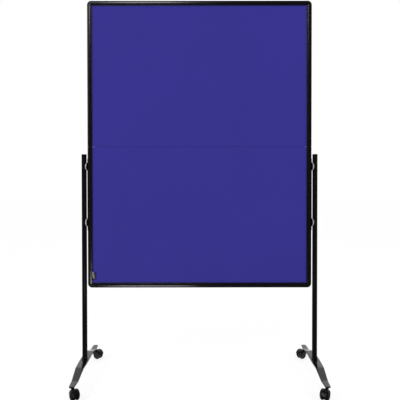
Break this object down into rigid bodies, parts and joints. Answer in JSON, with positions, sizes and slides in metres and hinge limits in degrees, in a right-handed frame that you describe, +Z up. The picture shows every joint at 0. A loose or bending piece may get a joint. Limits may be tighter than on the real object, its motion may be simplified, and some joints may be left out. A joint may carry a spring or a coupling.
{
  "type": "mobile pinboard",
  "caption": "Felt-covered board in a slim black frame that folds back at its middle, carried between two posts with arched feet on twin-wheel castors.",
  "frame": {"origin": "on the floor, midway between the posts and under the middle of the board", "axes": "+Z up, +X to the right of someone facing the front, +Y towards the back"},
  "size_m": [1.289, 0.5777, 2.015],
  "materials": {
    "frame_coat": "satin black powder coat",
    "foot_coat": "gloss black stove enamel",
    "blue_felt": "napped wool felt",
    "soft_core": "pressed softboard",
    "batten_wood": "planed softwood",
    "moulded_black": "fine moulded grain",
    "castor_nylon": "satin moulded nylon",
    "zinc_steel": "bright zinc plate"
  },
  "bodies": {
    "stand": {"back_felt_lower": "blue_felt", "bottom_rail": "frame_coat", "castor_stems": "zinc_steel", "coupling_nuts": "zinc_steel", "coupling_saddles": "zinc_steel", "coupling_studs": "zinc_steel", "coupling_washers": "moulded_black", "fold_batten_lower": "batten_wood", "foot_bolts": "zinc_steel", "foot_left": "foot_coat", "foot_right": "foot_coat", "front_felt_lower": "blue_felt", "hinge_pins": "zinc_steel", "lower_corner_left": "moulded_black", "lower_corner_right": "moulded_black", "lower_hinge_fitting_left": "frame_coat", "lower_hinge_fitting_right": "frame_coat", "lower_side_rail_left": "frame_coat", "lower_side_rail_right": "frame_coat", "mounting_strip_left": "frame_coat", "mounting_strip_right": "frame_coat", "panel_core_lower": "soft_core", "post_cap_left": "moulded_black", "post_cap_right": "moulded_black", "post_collar_left": "moulded_black", "post_collar_right": "moulded_black", "post_left": "frame_coat", "post_plugs": "zinc_steel", "post_right": "frame_coat"},
    "upper_board": {"back_felt_upper": "blue_felt", "fold_batten_upper": "batten_wood", "front_felt_upper": "blue_felt", "panel_core_upper": "soft_core", "top_rail": "frame_coat", "upper_corner_left": "moulded_black", "upper_corner_right": "moulded_black", "upper_hinge_fitting_left": "frame_coat", "upper_hinge_fitting_right": "frame_coat", "upper_side_rail_left": "frame_coat", "upper_side_rail_right": "frame_coat"},
    "fold_lock_left": {"fold_lock_left": "zinc_steel"},
    "fold_lock_right": {"fold_lock_right": "zinc_steel"},
    "castor_front_left": {"castor_housing_front_left": "castor_nylon", "castor_axle_front_left": "zinc_steel"},
    "wheel_a_front_left": {"castor_wheel_a_front_left": "castor_nylon"},
    "wheel_b_front_left": {"castor_wheel_b_front_left": "castor_nylon"},
    "lever_front_left": {"castor_lever_front_left": "castor_nylon"},
    "castor_front_right": {"castor_housing_front_right": "castor_nylon", "castor_axle_front_right": "zinc_steel"},
    "wheel_a_front_right": {"castor_wheel_a_front_right": "castor_nylon"},
    "wheel_b_front_right": {"castor_wheel_b_front_right": "castor_nylon"},
    "lever_front_right": {"castor_lever_front_right": "castor_nylon"},
    "castor_rear_left": {"castor_housing_rear_left": "castor_nylon", "castor_axle_rear_left": "zinc_steel"},
    "wheel_a_rear_left": {"castor_wheel_a_rear_left": "castor_nylon"},
    "wheel_b_rear_left": {"castor_wheel_b_rear_left": "castor_nylon"},
    "castor_rear_right": {"castor_housing_rear_right": "castor_nylon", "castor_axle_rear_right": "zinc_steel"},
    "wheel_a_rear_right": {"castor_wheel_a_rear_right": "castor_nylon"},
    "wheel_b_rear_right": {"castor_wheel_b_rear_right": "castor_nylon"}
  },
  "joints": [
    {"name": "board_fold", "type": "hinge", "parent": "stand", "child": "upper_board", "pos_m": [0, 0.017, 1.236], "axis": [-1, 0, 0], "range_deg": [0, 180]},
    {"name": "fold_lock_slide_left", "type": "slide", "parent": "stand", "child": "fold_lock_left", "axis": [0, 0, 1], "range_m": [0, 0.04]},
    {"name": "fold_lock_slide_right", "type": "slide", "parent": "stand", "child": "fold_lock_right", "axis": [0, 0, 1], "range_m": [0, 0.04]},
    {"name": "castor_swivel_front_left", "type": "hinge", "parent": "stand", "child": "castor_front_left", "pos_m": [-0.62, -0.249, 0.045], "axis": [0, 0, 1], "continuous": true},
    {"name": "wheel_spin_a_front_left", "type": "hinge", "parent": "castor_front_left", "child": "wheel_a_front_left", "pos_m": [-0.60546, -0.27055, 0.025], "axis": [0.829, 0.5592, 0], "continuous": true},
    {"name": "wheel_spin_b_front_left", "type": "hinge", "parent": "castor_front_left", "child": "wheel_b_front_left", "pos_m": [-0.60546, -0.27055, 0.025], "axis": [0.829, 0.5592, 0], "continuous": true},
    {"name": "castor_lock_front_left", "type": "hinge", "parent": "castor_front_left", "child": "lever_front_left", "pos_m": [-0.59653, -0.2838, 0.03619], "axis": [0.829, 0.5592, 0], "range_deg": [0, 12]},
    {"name": "castor_swivel_front_right", "type": "hinge", "parent": "stand", "child": "castor_front_right", "pos_m": [0.62, -0.249, 0.045], "axis": [0, 0, 1], "continuous": true},
    {"name": "wheel_spin_a_front_right", "type": "hinge", "parent": "castor_front_right", "child": "wheel_a_front_right", "pos_m": [0.60546, -0.27055, 0.025], "axis": [0.829, -0.5592, 0], "continuous": true},
    {"name": "wheel_spin_b_front_right", "type": "hinge", "parent": "castor_front_right", "child": "wheel_b_front_right", "pos_m": [0.60546, -0.27055, 0.025], "axis": [0.829, -0.5592, 0], "continuous": true},
    {"name": "castor_lock_front_right", "type": "hinge", "parent": "castor_front_right", "child": "lever_front_right", "pos_m": [0.59653, -0.2838, 0.03619], "axis": [0.829, -0.5592, 0], "range_deg": [0, 12]},
    {"name": "castor_swivel_rear_left", "type": "hinge", "parent": "stand", "child": "castor_rear_left", "pos_m": [-0.62, 0.249, 0.045], "axis": [0, 0, 1], "continuous": true},
    {"name": "wheel_spin_a_rear_left", "type": "hinge", "parent": "castor_rear_left", "child": "wheel_a_rear_left", "pos_m": [-0.5987, 0.23409, 0.025], "axis": [0.5736, 0.8192, 0], "continuous": true},
    {"name": "wheel_spin_b_rear_left", "type": "hinge", "parent": "castor_rear_left", "child": "wheel_b_rear_left", "pos_m": [-0.5987, 0.23409, 0.025], "axis": [0.5736, 0.8192, 0], "continuous": true},
    {"name": "castor_swivel_rear_right", "type": "hinge", "parent": "stand", "child": "castor_rear_right", "pos_m": [0.62, 0.249, 0.045], "axis": [0, 0, 1], "continuous": true},
    {"name": "wheel_spin_a_rear_right", "type": "hinge", "parent": "castor_rear_right", "child": "wheel_a_rear_right", "pos_m": [0.5987, 0.23409, 0.025], "axis": [0.5736, -0.8192, 0], "continuous": true},
    {"name": "wheel_spin_b_rear_right", "type": "hinge", "parent": "castor_rear_right", "child": "wheel_b_rear_right", "pos_m": [0.5987, 0.23409, 0.025], "axis": [0.5736, -0.8192, 0], "continuous": true}
  ]
}
